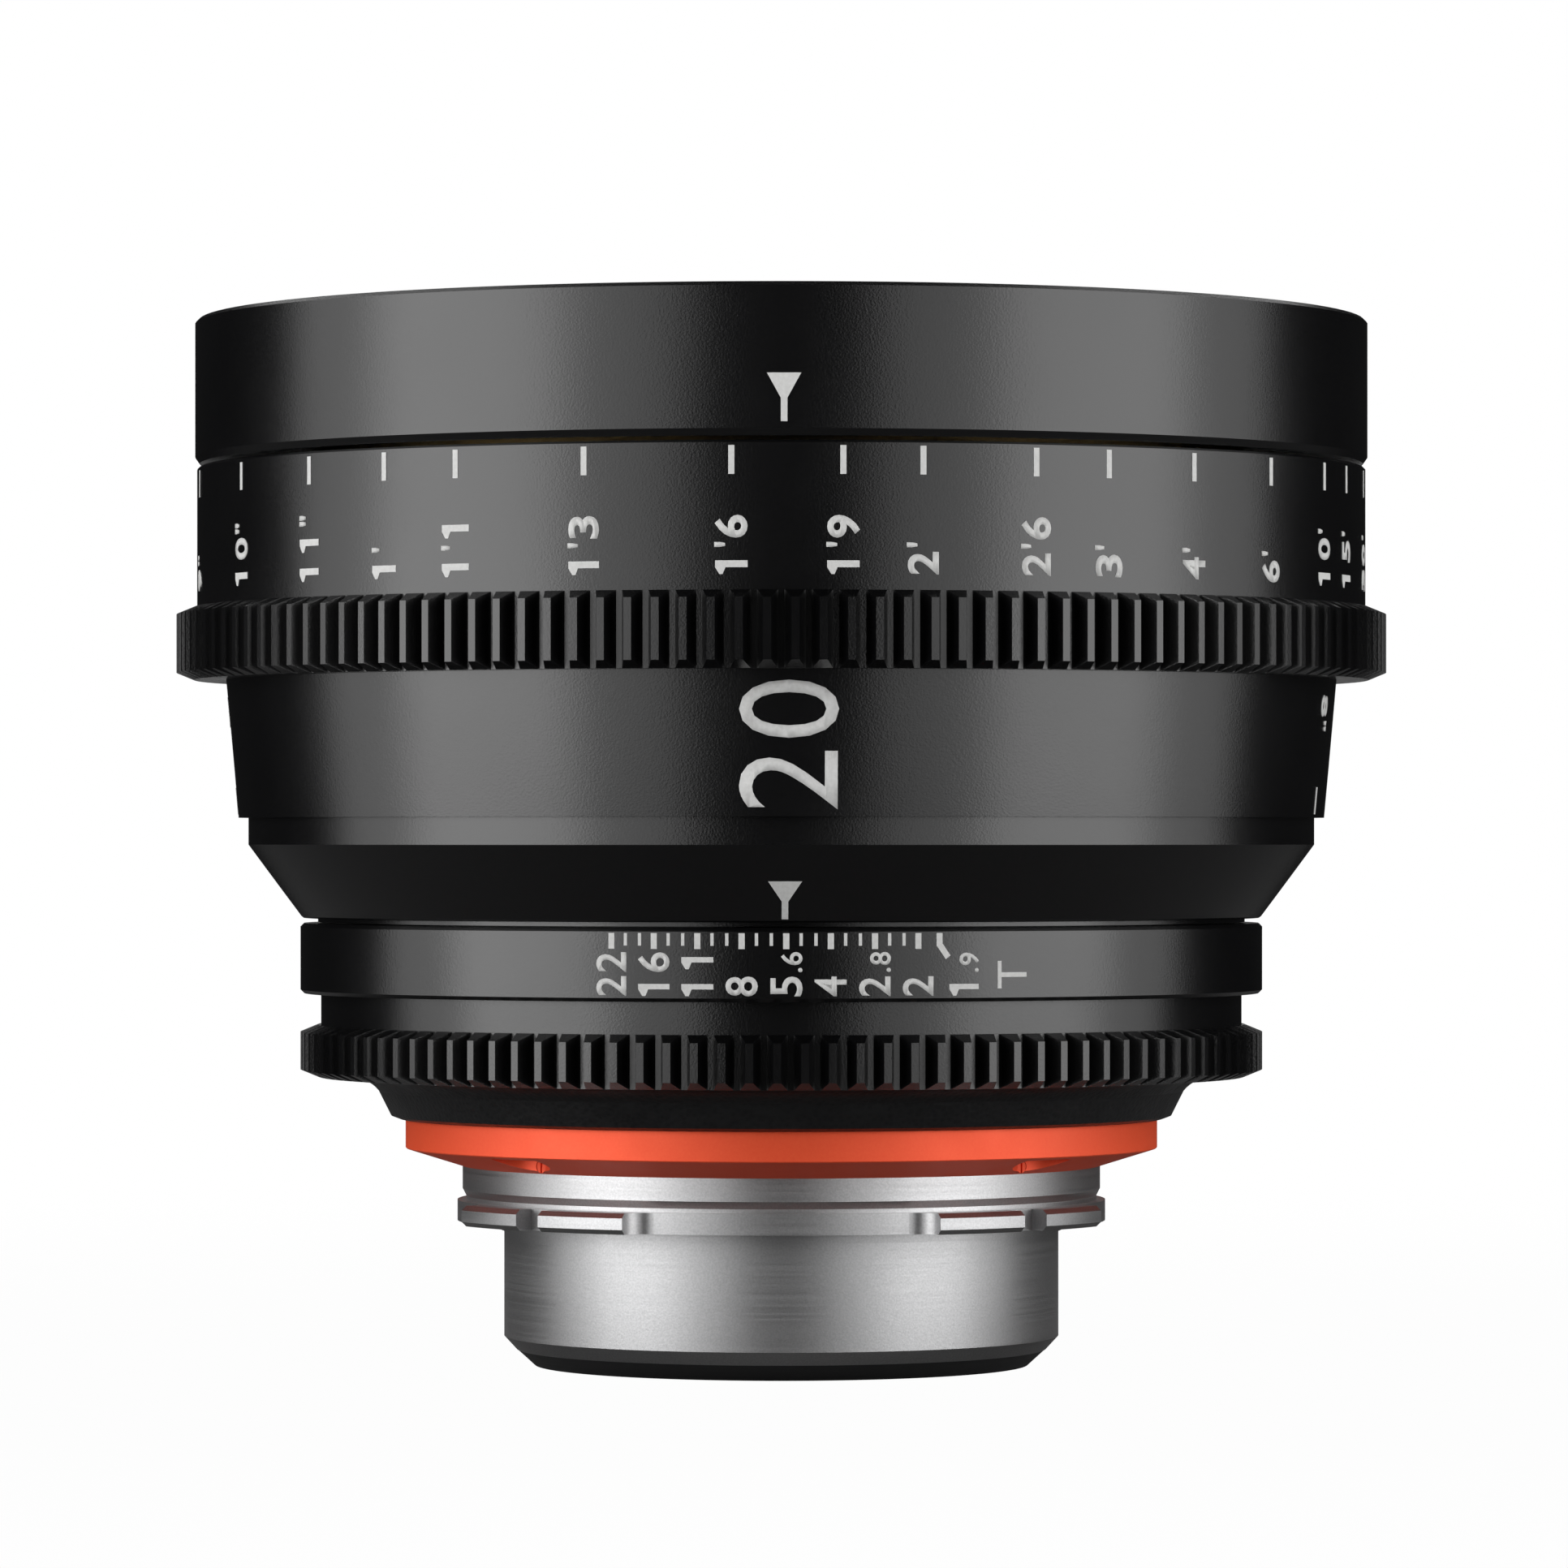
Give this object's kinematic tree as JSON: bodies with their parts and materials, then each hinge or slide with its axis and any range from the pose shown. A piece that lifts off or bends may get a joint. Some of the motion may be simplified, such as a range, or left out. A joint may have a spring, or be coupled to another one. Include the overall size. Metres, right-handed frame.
{
  "type": "cinema prime lens",
  "caption": "Cinema prime lens with geared focus and iris rings, a moving optics unit with a bladed iris, and a four-lug steel camera mount.",
  "frame": {"origin": "on the optical axis at the rear end, the face of the rear trim ring on which the lens stands", "axes": "+Z along the optical axis to the front of the lens; the index marks face -Y"},
  "size_m": [0.1176, 0.1176, 0.1014],
  "materials": {
    "black_anodised": "fine bead-blasted black anodising, satin",
    "black_textured": "black fine-grained paint",
    "accent_anodised": "orange-red anodised, satin",
    "mount_steel": "turned stainless steel, fine satin",
    "inner_black": "flat black inner finish",
    "cam_brass": "turned brass",
    "blade_steel": "blackened spring steel",
    "steel": "plain steel",
    "washer_plastic": "low-friction plastic",
    "glass": "coated optical glass"
  },
  "bodies": {
    "barrel": {"front_ring": "black_anodised", "front_baffle": "inner_black", "front_ring_screws": "steel", "main_barrel": "black_anodised", "focus_stop": "steel", "rear_barrel": "black_anodised", "rear_barrel_screws": "steel", "rear_cover": "black_textured", "accent_ring": "accent_anodised", "accent_set_screws": "steel", "mount_shim": "mount_steel", "mount_flange": "mount_steel", "mount_screws": "steel", "rear_trim_ring": "black_anodised", "rear_thrust_washer": "washer_plastic", "front_thrust_washer": "washer_plastic"},
    "focus": {"focus_ring": "black_anodised", "cam_sleeve": "cam_brass", "cam_sleeve_screws": "steel"},
    "optics": {"front_cell": "inner_black", "front_cell_screws": "steel", "front_retaining_ring": "inner_black", "front_spacer_1": "inner_black", "front_spacer_2": "inner_black", "front_spacer_3": "inner_black", "guide_rollers": "steel", "iris_seat_plate": "inner_black", "lens_carrier": "inner_black", "lens_element_01": "glass", "lens_element_02": "glass", "lens_element_03": "glass", "lens_element_04": "glass", "lens_element_05": "glass", "lens_element_06": "glass", "lens_element_07": "glass", "lens_element_08": "glass", "lens_element_09": "glass", "lens_element_10": "glass", "middle_cell": "inner_black", "middle_cell_screws": "steel", "middle_retaining_ring": "inner_black", "rear_cell": "inner_black", "rear_cell_screws": "steel", "rear_retaining_ring": "inner_black", "rear_spacer": "inner_black"},
    "iris": {"iris_ring": "black_anodised", "iris_drive_pin": "steel"},
    "cam": {"iris_cam": "inner_black"},
    "blade_01": {"iris_blade_01": "blade_steel"},
    "blade_02": {"iris_blade_02": "blade_steel"},
    "blade_03": {"iris_blade_03": "blade_steel"},
    "blade_04": {"iris_blade_04": "blade_steel"},
    "blade_05": {"iris_blade_05": "blade_steel"},
    "blade_06": {"iris_blade_06": "blade_steel"},
    "blade_07": {"iris_blade_07": "blade_steel"},
    "blade_08": {"iris_blade_08": "blade_steel"},
    "blade_09": {"iris_blade_09": "blade_steel"},
    "blade_10": {"iris_blade_10": "blade_steel"},
    "blade_11": {"iris_blade_11": "blade_steel"}
  },
  "joints": [
    {"name": "focus_turn", "type": "hinge", "parent": "barrel", "child": "focus", "pos_m": [0, 0, 0.07], "axis": [0, 0, 1], "range_deg": [-93, 107]},
    {"name": "optics_slide", "type": "slide", "parent": "barrel", "child": "optics", "axis": [0, 0, 1], "range_m": [-0.00162, 0.00187]},
    {"name": "iris_turn", "type": "hinge", "parent": "barrel", "child": "iris", "pos_m": [0, 0, 0.036], "axis": [0, 0, 1], "range_deg": [-17.5, 20]},
    {"name": "cam_turn", "type": "hinge", "parent": "optics", "child": "cam", "pos_m": [0, 0, 0.0391], "axis": [0, 0, 1], "range_deg": [-17.5, 20]},
    {"name": "blade_01_swing", "type": "hinge", "parent": "optics", "child": "blade_01", "pos_m": [0.019, 0, 0.0373], "axis": [0, 0, 1], "range_deg": [-14.88, 17]},
    {"name": "blade_02_swing", "type": "hinge", "parent": "optics", "child": "blade_02", "pos_m": [0.01598, 0.01027, 0.0373], "axis": [0, 0, 1], "range_deg": [-14.88, 17]},
    {"name": "blade_03_swing", "type": "hinge", "parent": "optics", "child": "blade_03", "pos_m": [0.00789, 0.01728, 0.0373], "axis": [0, 0, 1], "range_deg": [-14.88, 17]},
    {"name": "blade_04_swing", "type": "hinge", "parent": "optics", "child": "blade_04", "pos_m": [-0.0027, 0.01881, 0.0373], "axis": [0, 0, 1], "range_deg": [-14.88, 17]},
    {"name": "blade_05_swing", "type": "hinge", "parent": "optics", "child": "blade_05", "pos_m": [-0.01244, 0.01436, 0.0373], "axis": [0, 0, 1], "range_deg": [-14.88, 17]},
    {"name": "blade_06_swing", "type": "hinge", "parent": "optics", "child": "blade_06", "pos_m": [-0.01823, 0.00535, 0.0373], "axis": [0, 0, 1], "range_deg": [-14.88, 17]},
    {"name": "blade_07_swing", "type": "hinge", "parent": "optics", "child": "blade_07", "pos_m": [-0.01823, -0.00535, 0.0373], "axis": [0, 0, 1], "range_deg": [-14.88, 17]},
    {"name": "blade_08_swing", "type": "hinge", "parent": "optics", "child": "blade_08", "pos_m": [-0.01244, -0.01436, 0.0373], "axis": [0, 0, 1], "range_deg": [-14.88, 17]},
    {"name": "blade_09_swing", "type": "hinge", "parent": "optics", "child": "blade_09", "pos_m": [-0.0027, -0.01881, 0.0373], "axis": [0, 0, 1], "range_deg": [-14.88, 17]},
    {"name": "blade_10_swing", "type": "hinge", "parent": "optics", "child": "blade_10", "pos_m": [0.00789, -0.01728, 0.0373], "axis": [0, 0, 1], "range_deg": [-14.88, 17]},
    {"name": "blade_11_swing", "type": "hinge", "parent": "optics", "child": "blade_11", "pos_m": [0.01598, -0.01027, 0.0373], "axis": [0, 0, 1], "range_deg": [-14.88, 17]}
  ],
  "couplings": [
    {"joint": "optics_slide", "follows": "focus_turn", "m_per_rad": 0.001},
    {"joint": "cam_turn", "follows": "iris_turn", "ratio": 1},
    {"joint": "blade_01_swing", "follows": "iris_turn", "ratio": 0.85},
    {"joint": "blade_02_swing", "follows": "iris_turn", "ratio": 0.85},
    {"joint": "blade_03_swing", "follows": "iris_turn", "ratio": 0.85},
    {"joint": "blade_04_swing", "follows": "iris_turn", "ratio": 0.85},
    {"joint": "blade_05_swing", "follows": "iris_turn", "ratio": 0.85},
    {"joint": "blade_06_swing", "follows": "iris_turn", "ratio": 0.85},
    {"joint": "blade_07_swing", "follows": "iris_turn", "ratio": 0.85},
    {"joint": "blade_08_swing", "follows": "iris_turn", "ratio": 0.85},
    {"joint": "blade_09_swing", "follows": "iris_turn", "ratio": 0.85},
    {"joint": "blade_10_swing", "follows": "iris_turn", "ratio": 0.85},
    {"joint": "blade_11_swing", "follows": "iris_turn", "ratio": 0.85}
  ]
}
